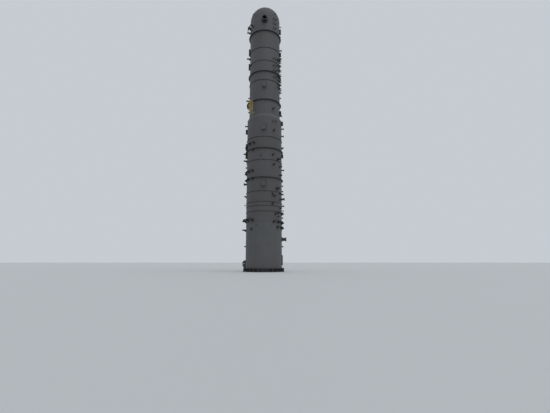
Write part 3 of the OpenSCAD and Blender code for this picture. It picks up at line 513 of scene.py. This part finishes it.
def seamLines():
    lines = []
    sink = weldBeads["seamSink"]
    for section in (lower, upper):
        for i in range(courseCount + 1):
            height = section["foot"] + i * section["course"]
            lines.append((circleLine(section["radius"] - sink, height), True))
    count = weldBeads["seamPoints"]
    for section in (lower, upper):
        for i in range(courseCount):
            out, side, up = shellAxes(i * section["seamTurn"])
            foot = section["foot"] + i * section["course"]
            lines.append(([out * (section["radius"] - sink) + up * (foot + section["course"] * k / count)
                           for k in range(count + 1)], False))
    skirtFoot, skirtTop = (corner.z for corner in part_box("skirt"))
    skirtMiddle = skirtFoot + (skirtTop - skirtFoot) * weldBeads["skirtMiddle"]
    lines += [(circleLine(lower["radius"] - sink, height), True) for height in (skirtMiddle, skirtTop)]
    levels = ((skirtFoot, skirtMiddle), (skirtMiddle, skirtTop))
    for azimuth, (foot, top) in zip(weldBeads["skirtSeams"], levels):
        out, side, up = shellAxes(azimuth)
        lines.append(([out * (lower["radius"] - sink) + up * height for height in (foot, top)], False))
    return lines + petalLines(upper["radius"] - sink)


# The round head's petals: meridians that end at a circle round the crown
def petalLines(radius):
    rise = math.radians(weldBeads["crownRise"])
    lines = [(circleLine(radius * math.cos(rise), upper["top"] + radius * math.sin(rise)), True)]
    count = weldBeads["petalPoints"]
    for i in range(weldBeads["petals"]):
        out, side, up = shellAxes(weldBeads["petalTurn"] + i * 360 / weldBeads["petals"])
        angles = [rise * k / count for k in range(count + 1)]
        lines.append(([out * radius * math.cos(a) + up * (upper["top"] + radius * math.sin(a))
                       for a in angles], False))
    return lines


# Flange sizes by the cover's diameter, in metres. Circle is the bolt circle's diameter; bolt, neck
# and pad are radii, and a pad of 0 means that the neck has none
outletCover = 0.350
manwayCover = 0.406
flangeSizes = {
    0.115: {"circle": 0.095, "bolts": 8, "bolt": 0.0042, "neck": 0.0285, "thick": 0.012, "pad": 0},
    0.172: {"circle": 0.149, "bolts": 8, "bolt": 0.0052, "neck": 0.055, "thick": 0.014, "pad": 0.095},
    0.242: {"circle": 0.216, "bolts": 12, "bolt": 0.0062, "neck": 0.081, "thick": 0.016, "pad": 0.140},
    outletCover: {"circle": 0.318, "bolts": 20, "bolt": 0.0075, "neck": 0.127, "thick": 0.022, "pad": 0},
    manwayCover: {"circle": 0.375, "bolts": 20, "bolt": 0.0080, "neck": 0.1525, "thick": 0.024,
                  "pad": 0.260},
}
sizeTolerance = 0.004
neckFit = {"padThick": 0.010, "neckPoints": 28, "padPoints": 60}
trunnionFit = {"padRadius": 0.33, "padThick": 0.018, "pipeRadius": 0.19, "pipePoints": 48}


def shellRadiusAt(height):
    return upper["radius"] if height > upper["foot"] else lower["radius"]


def flangesOf(name):
    found = []
    for solid in solidsOf(name):
        across = solid["high"].z - solid["low"].z
        size = min(flangeSizes, key=lambda key: abs(key - across))
        if abs(size - across) < sizeTolerance:
            found.append({**solid, **flangeSizes[size], "across": size})
    return found


flanges = flangesOf("flange_covers") + flangesOf("manway_covers")
print("stage: flanges found", len(flanges))

# Nozzles of the photo that the solids lack: section, height in courses, azimuth, cover's diameter
extraNozzles = {"rows": [(upper, 3.419, 62, 0.242), (lower, 1.577, 72, 0.172)], "sink": 0.02}


# Adds each extra nozzle to the flanges, so that it gets bolts and welds, and lists its round pieces
def nozzleRows(look):
    rows = []
    for section, courses, azimuth, size in look["rows"]:
        like = next(flange for flange in flanges if flange["across"] == size)
        thick = like["thick"]
        face = like["reach"] - shellRadiusAt(like["middle"].z) - thick
        out, side, up = shellAxes(azimuth)
        wall = out * section["radius"] + up * (section["foot"] + courses * section["course"])
        sink = look["sink"]
        rows.append({"at": wall - out * sink, "way": out,
                     "size": (face + sink - thick, 2 * like["neck"], 2 * like["neck"])})
        rows += [{"at": wall + out * start, "way": out, "size": (thick, size, size)}
                 for start in (face - thick, face)]
        flanges.append({**flangeSizes[size], "across": size, "azimuth": azimuth, "pad": 0,
                        "middle": wall + out * (face + thick / 2)})
    return rows


extraNozzleRows = nozzleRows(extraNozzles)
print("stage: extra nozzles", len(extraNozzles["rows"]))


def ringFillets():
    lines = []
    for name in nodes:
        if name.startswith("stiffener"):
            low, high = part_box(name)
            radius = shellRadiusAt(low.z) + weldBeads["ringLift"]
            lines += [(circleLine(radius, height), True) for height in (low.z, high.z)]
    for solid in solidsOf("support_rings"):
        radius = shellRadiusAt(solid["low"].z) + weldBeads["thinRingLift"]
        lines += [(circleLine(radius, solid[end].z), True) for end in ("low", "high")]
    return lines


# Round pads and necks. The bottom outlet's neck goes through a sleeve, so it has no weld here
def neckFillets():
    lines = []
    for flange in flanges:
        if flange["across"] == outletCover:
            continue
        spot = (flange["azimuth"], flange["middle"].z)
        radius = shellRadiusAt(flange["middle"].z)
        if flange["pad"]:
            lines.append((saddleLine(*spot, radius, flange["pad"], neckFit["padPoints"]), True))
            radius += neckFit["padThick"]
        lines.append((saddleLine(*spot, radius, flange["neck"], neckFit["neckPoints"]), True))
    for name in ("trunnion_front", "trunnion_rear"):
        low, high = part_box(name)
        spot = (azimuthOf((low + high) / 2), (low.z + high.z) / 2)
        lines.append((saddleLine(*spot, upper["radius"], trunnionFit["padRadius"],
                                 neckFit["padPoints"]), True))
        lines.append((saddleLine(*spot, upper["radius"] + trunnionFit["padThick"],
                                 trunnionFit["pipeRadius"], trunnionFit["pipePoints"]), True))
    return lines


# Both sides of each anchor chair's plates, and the circles where skirt, base and chair ring meet
def chairFillets():
    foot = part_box("base_ring")[1].z
    chairFoot, chairTop = (corner.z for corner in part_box("chair_ring"))
    radius = lower["radius"] + weldBeads["chairLift"]
    lines = [(circleLine(radius, height), True) for height in (foot, chairFoot, chairTop)]
    for solid in solidsOf("anchor_gussets"):
        for turn in (-1, 1):
            out, side, up = shellAxes(solid["azimuth"])
            edge = out * radius + side * (turn * weldBeads["chairPlateHalf"])
            lines.append(([edge + up * foot, edge + up * chairFoot], False))
    return lines


weldTree = beadTree("weldTree", finishes["weldSteel"])


def growWelds(name, lines, radius, step, sides):
    growMesh(name, lineObject(name + "Source", lines), weldTree,
             {"Bead radius": radius, "Step": step, "Ripple": weldBeads["ripple"],
              "Ripple scale": weldBeads["rippleScale"], "Sides": sides})


growWelds("seamWelds", seamLines(), weldBeads["seamRadius"], weldBeads["seamStep"], weldBeads["seamSides"])
for name, lines, step, slotName in (("ringWelds", ringFillets(), weldBeads["ringStep"], "ring_primer"),
                                    ("neckWelds", neckFillets(), weldBeads["filletStep"], "cover_steel"),
                                    ("chairWelds", chairFillets(), weldBeads["ringStep"], "base_primer")):
    growWelds(name, lines, weldBeads["filletRadius"], step, weldBeads["filletSides"])


# A nut with a chamfer, standing on height 0: rings of radius and height, scaled for each bolt
nutForm = {"sides": 6, "rings": ((1.0, 0.0), (1.0, 1.25), (0.86, 1.45))}


def nutShape(look):
    shape = bmesh.new()
    rings = []
    sides = look["sides"]
    corners = [(math.cos(math.tau * i / sides), math.sin(math.tau * i / sides)) for i in range(sides)]
    for radius, height in look["rings"]:
        rings.append([shape.verts.new((radius * x, radius * y, height)) for x, y in corners])
    for low, high in zip(rings, rings[1:]):
        for i in range(sides):
            after = (i + 1) % sides
            shape.faces.new((low[i], low[after], high[after], high[i]))
    shape.faces.new(rings[-1])
    shape.faces.new(list(reversed(rings[0])))
    mesh = bpy.data.meshes.new("nut")
    shape.to_mesh(mesh)
    shape.free()
    nut = bpy.data.objects.new("nut", mesh)
    bpy.context.scene.collection.objects.link(nut)
    return nut


# A stud with a nut at each end on every point: the point's attributes give its way and sizes
def boltTree(nut):
    growth = Growth("boltTree", [("Nut size", "NodeSocketFloat", 1.75), ("Stud sides", "NodeSocketInt", 8),
                                 ("Overhang", "NodeSocketFloat", 2.2)])
    points = growth.add("GeometryNodeMeshToPoints", inputs={0: growth.input("Geometry")})
    way = growth.add("GeometryNodeInputNamedAttribute", {"data_type": "FLOAT_VECTOR"}, {"Name": "way"})
    thick = growth.add("GeometryNodeInputNamedAttribute", {"data_type": "FLOAT"}, {"Name": "thick"})
    grip = growth.add("GeometryNodeInputNamedAttribute", {"data_type": "FLOAT"}, {"Name": "grip"})
    turn = growth.add("FunctionNodeAlignRotationToVector", {"axis": "Z"}, {"Vector": way})
    backTo = growth.add("ShaderNodeVectorMath", {"operation": "SCALE"}, {0: way, "Scale": -1.0})
    turnBack = growth.add("FunctionNodeAlignRotationToVector", {"axis": "Z"}, {"Vector": backTo})
    half = growth.add("ShaderNodeMath", {"operation": "MULTIPLY"}, {0: grip, 1: 0.5})
    nutWide = growth.add("ShaderNodeMath", {"operation": "MULTIPLY"},
                         {0: thick, 1: growth.input("Nut size")})
    over = growth.add("ShaderNodeMath", {"operation": "MULTIPLY"}, {0: thick, 1: growth.input("Overhang")})
    longer = growth.add("ShaderNodeMath", {"operation": "MULTIPLY_ADD"}, {0: over, 1: 2.0, 2: grip})
    studSize = growth.add("ShaderNodeCombineXYZ", inputs={0: thick, 1: thick, 2: longer})
    nutSize = growth.add("ShaderNodeCombineXYZ", inputs={0: nutWide, 1: nutWide, 2: thick})
    stud = growth.add("GeometryNodeMeshCylinder", inputs={"Vertices": growth.input("Stud sides"),
                                                          "Radius": 1.0, "Depth": 1.0})
    nutMesh = growth.add("GeometryNodeObjectInfo", inputs={"Object": nut}, output="Geometry")
    shapes = [growth.add("GeometryNodeInstanceOnPoints",
                         inputs={"Points": points, "Instance": stud, "Rotation": turn, "Scale": studSize})]
    for direction, rotation in ((way, turn), (backTo, turnBack)):
        shift = growth.add("ShaderNodeVectorMath", {"operation": "SCALE"}, {0: direction, "Scale": half})
        at = growth.add("GeometryNodeSetPosition", inputs={"Geometry": points, "Offset": shift})
        shapes.append(growth.add("GeometryNodeInstanceOnPoints",
                                 inputs={"Points": at, "Instance": nutMesh, "Rotation": rotation,
                                         "Scale": nutSize}))
    return growth.close(growth.join(shapes), finishes["boltSteel"])


# A source object of points whose rows hold numbers and vectors by the names given
def pointObject(name, rows, numbers, vectors):
    mesh = bpy.data.meshes.new(name)
    mesh.from_pydata([row["at"] for row in rows], [], [])
    for label in numbers:
        mesh.attributes.new(label, "FLOAT", "POINT").data.foreach_set("value", [row[label] for row in rows])
    for label in vectors:
        attribute = mesh.attributes.new(label, "FLOAT_VECTOR", "POINT")
        attribute.data.foreach_set("vector", [value for row in rows for value in row[label]])
    source = bpy.data.objects.new(name, mesh)
    bpy.context.scene.collection.objects.link(source)
    return source


# The vapour outlet's bolts, which stand upright on the top head
topBolts = {"count": 24, "circle": 0.520, "bolt": 0.0075, "thick": 0.024}


def boltRows(look):
    rows = []
    for flange in flanges:
        out, side, up = shellAxes(flange["azimuth"])
        thick = flange["thick"]
        joint = flange["middle"] - out * (thick / 2)
        for i in range(flange["bolts"]):
            t = math.tau * (i + 0.5) / flange["bolts"]
            spot = (side * -math.sin(t) + up * math.cos(t)) * (flange["circle"] / 2)
            rows.append({"at": joint + spot, "way": out, "thick": flange["bolt"], "grip": 2 * thick})
    joint = Vector((0, 0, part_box("vapour_nozzle")[1].z))
    for i in range(look["count"]):
        t = math.tau * (i + 0.5) / look["count"]
        spot = Vector((math.cos(t), math.sin(t), 0)) * (look["circle"] / 2)
        rows.append({"at": joint + spot, "way": Vector((0, 0, 1)), "thick": look["bolt"],
                     "grip": 2 * look["thick"]})
    return rows


nut = nutShape(nutForm)
boltSource = pointObject("boltSource", boltRows(topBolts), ("thick", "grip"), ("way",))
growMesh("flangeBolts", boltSource, boltTree(nut), {})
bpy.data.objects.remove(nut)


# An outline in two axes, carried along the third, one unit long. X runs out of the shell
def prismShape(name, outline, place):
    shape = bmesh.new()
    ends = [[shape.verts.new(place(a, b, end)) for a, b in outline] for end in (0.0, 1.0)]
    for i in range(len(outline)):
        after = (i + 1) % len(outline)
        shape.faces.new((ends[0][i], ends[0][after], ends[1][after], ends[1][i]))
    for end in ends:
        shape.faces.new(end)
    bmesh.ops.recalc_face_normals(shape, faces=shape.faces)
    mesh = bpy.data.meshes.new(name)
    shape.to_mesh(mesh)
    shape.free()
    prism = bpy.data.objects.new(name, mesh)
    bpy.context.scene.collection.objects.link(prism)
    return prism


# A shape on every point, with X turned to the point's way and scaled by its size
def plateTree(name, shape, material):
    growth = Growth(name, [("Scale", "NodeSocketFloat", 1.0)])
    points = growth.add("GeometryNodeMeshToPoints", inputs={0: growth.input("Geometry")})
    way = growth.add("GeometryNodeInputNamedAttribute", {"data_type": "FLOAT_VECTOR"}, {"Name": "way"})
    size = growth.add("GeometryNodeInputNamedAttribute", {"data_type": "FLOAT_VECTOR"}, {"Name": "size"})
    scaled = growth.add("ShaderNodeVectorMath", {"operation": "SCALE"},
                        {0: size, "Scale": growth.input("Scale")})
    turn = growth.add("FunctionNodeAlignRotationToVector", {"axis": "X", "pivot_axis": "Z"},
                      {"Vector": way})
    form = growth.add("GeometryNodeObjectInfo", inputs={"Object": shape}, output="Geometry")
    placed = growth.add("GeometryNodeInstanceOnPoints",
                        inputs={"Points": points, "Instance": form, "Rotation": turn, "Scale": scaled})
    return growth.close(placed, material)


def growPlates(name, rows, shape, material):
    source = pointObject(name + "Source", rows, (), ("way", "size"))
    growMesh(name, source, plateTree(name + "Tree", shape, finishes[material]), {})


# Tapered webs under the ladder clips' angles. Tip is the share of the depth left at the outer end
clipWebs = {"plate": 0.008, "deep": 0.13, "tip": 0.45, "sink": 0.003}


def clipWebRows(look):
    rows = []
    for solid in solidsOf("ladder_clips"):
        out, side, up = shellAxes(solid["azimuth"])
        foot = upper["radius"] - look["sink"]
        rows.append({"at": out * foot + up * (solid["high"].z - look["sink"]), "way": out,
                     "size": (solid["reach"] - foot - look["sink"], look["plate"], look["deep"])})
    return rows


# Pipe guides that the solids lack: section, foot and top in courses, azimuth. The solids' own
# guides get the web between shell and upright
pipeGuides = {
    "rows": [(lower, 5.720, 5.980, 80), (lower, 5.240, 5.520, -86), (lower, 4.190, 4.420, -78),
             (lower, 3.700, 4.060, -78), (lower, 3.770, 3.970, 84), (upper, 3.765, 4.020, 80),
             (upper, 0.200, 0.440, 80)],
    "reach": 0.150, "wide": 0.090, "plate": 0.014, "sink": 0.003, "ribs": (0.0, 0.5, 1.0),
}


def guideRows(look):
    rows = []
    plate = look["plate"]
    for section, foot, top, azimuth in look["rows"]:
        out, side, up = shellAxes(azimuth)
        start = section["foot"] + foot * section["course"]
        long = (top - foot) * section["course"]
        wall = out * (section["radius"] - look["sink"])
        reach = look["reach"] + look["sink"]
        rows.append({"at": wall + up * start, "way": out, "size": (reach, plate, long)})
        rows.append({"at": wall + out * (reach - plate) + up * start, "way": out,
                     "size": (plate, look["wide"], long)})
        for share in look["ribs"]:
            rows.append({"at": wall + up * (start + share * (long - plate)), "way": out,
                         "size": (reach, look["wide"], plate)})
    for solid in solidsOf("pipe_guides"):
        out, side, up = shellAxes(solid["azimuth"])
        foot = upper["radius"] - look["sink"]
        rows.append({"at": out * foot + up * solid["low"].z, "way": out,
                     "size": (solid["reach"] - plate - foot, plate, solid["high"].z - solid["low"].z)})
    return rows


# Bearing bars across the landing's floor
treadBars = {"step": 1.2, "high": 0.006, "plate": 0.004, "in": 0.034, "long": 0.20, "floor": 0.020,
             "margin": 1.0, "middle": -77.0, "angle": 46.0}


def treadRows(look):
    rows = []
    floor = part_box("landing_platform")[0].z + look["floor"]
    first = look["middle"] - look["angle"] / 2 + look["margin"]
    count = int((look["angle"] - 2 * look["margin"]) / look["step"]) + 1
    for i in range(count):
        out, side, up = shellAxes(first + i * look["step"])
        rows.append({"at": out * (upper["radius"] + look["in"]) + up * floor, "way": out,
                     "size": (look["long"], look["plate"], look["high"])})
    return rows


# Bent handles on the manway covers
coverHandles = {"aside": 0.105, "half": 0.045, "out": 0.032, "bar": 0.0045, "step": 0.01, "sink": 0.002}


def handleLines(look):
    lines = []
    for flange in flanges:
        if flange["across"] != manwayCover:
            continue
        out, side, up = shellAxes(flange["azimuth"])
        face = flange["middle"] + out * (flange["thick"] / 2 - look["sink"])
        for turn in (-1, 1):
            foot = face + side * (turn * look["aside"]) - up * look["half"]
            top = foot + up * (2 * look["half"])
            lines.append(([foot, foot + out * look["out"], top + out * look["out"], top], False))
    return lines


# A profile seen from the side, made one unit wide
def drawnUpright(a, b, end):
    return (a, end - 0.5, b)


# A profile seen from outside the shell, carried outwards
def drawnRound(a, b, end):
    return (end, a, b)


drumSides = 28
angles = [math.tau * i / drumSides for i in range(drumSides)]
block = prismShape("block", [(0, 0), (1, 0), (1, 1), (0, 1)], drawnUpright)
wedge = prismShape("wedge", [(0, 0), (0, -1), (1, -clipWebs["tip"]), (1, 0)], drawnUpright)
drum = prismShape("drum", [(0.5 * math.cos(a), 0.5 * math.sin(a)) for a in angles], drawnRound)
growPlates("clipWebs", clipWebRows(clipWebs), wedge, "clipPrimerPaintedShade")
growPlates("pipeGuideBars", guideRows(pipeGuides), block, "clipPrimerPaintedShade")
growPlates("landingBars", treadRows(treadBars), block, "clipPrimerPaintedShade")
growPlates("extraNozzles", extraNozzleRows, drum, "coverPrimerPaintedShade")
growMesh("coverHandles", lineObject("handleSource", handleLines(coverHandles)),
         beadTree("handleTree", finishes["clipPrimerPaintedShade"]),
         {"Bead radius": coverHandles["bar"], "Step": coverHandles["step"], "Ripple": 0.0})
for shape in (block, wedge, drum):
    bpy.data.objects.remove(shape)

# Floor, light and camera
stageLook = {"floor": (0.60, 0.61, 0.62, 1), "mottle": grey(0.5), "mottleScale": 0.4,
             "mottleAmount": 0.1, "floorRoughness": 0.85, "sky": (0.565, 0.600, 0.640, 1),
             "skyStrength": 1.0, "floorSize": 600.0, "keyStrength": 0.7, "keyAngle": 60.0,
             "keyTurn": (30.0, 22.0)}


def makeStage(look):
    mesh = bpy.data.meshes.new("floor")
    half = look["floorSize"] / 2
    mesh.from_pydata([(-half, -half, 0), (half, -half, 0), (half, half, 0), (-half, half, 0)], [],
                     [(0, 1, 2, 3)])
    floor = bpy.data.objects.new("floor", mesh)
    bpy.context.scene.collection.objects.link(floor)
    g = Graph("floorPaint")
    mottled = g.noise(g.place, look["mottleScale"], 4.0, 0.6) * look["mottleAmount"]
    mesh.materials.append(g.finish(g.mix(mottled, look["floor"], look["mottle"]), look["floorRoughness"]))
    world = bpy.data.worlds.new("sky")
    bpy.context.scene.world = world
    world.use_nodes = True
    back = world.node_tree.nodes["Background"]
    back.inputs["Color"].default_value = look["sky"]
    back.inputs["Strength"].default_value = look["skyStrength"]
    sun = bpy.data.lights.new("key", "SUN")
    sun.energy = look["keyStrength"]
    sun.angle = math.radians(look["keyAngle"])
    key = bpy.data.objects.new("key", sun)
    key.rotation_euler = (math.radians(look["keyTurn"][0]), math.radians(look["keyTurn"][1]), 0)
    bpy.context.scene.collection.objects.link(key)
    bpy.context.scene.view_settings.view_transform = "Standard"


# The camera stands where the photo was taken from and looks up by the same angle. The lens is
# longer than the photo's, so the column fills more of the frame in the same perspective
view = {"standOff": 27.19, "aside": 0.93, "height": 0.8, "pitch": 9.69, "focal": 324.0,
        "frameWidth": 550.0, "sensor": 36.0, "clipEnd": 2000.0}


def makeCamera(look):
    data = bpy.data.cameras.new("camera")
    data.sensor_width = look["sensor"]
    data.lens = look["focal"] / look["frameWidth"] * look["sensor"]
    data.clip_end = look["clipEnd"]
    camera = bpy.data.objects.new("camera", data)
    camera.location = (look["aside"], -look["standOff"], look["height"])
    camera.rotation_euler = (math.radians(90 + look["pitch"]), 0, 0)
    bpy.context.scene.collection.objects.link(camera)
    bpy.context.scene.camera = camera


makeStage(stageLook)
makeCamera(view)
print("stage: floor, light and camera made")
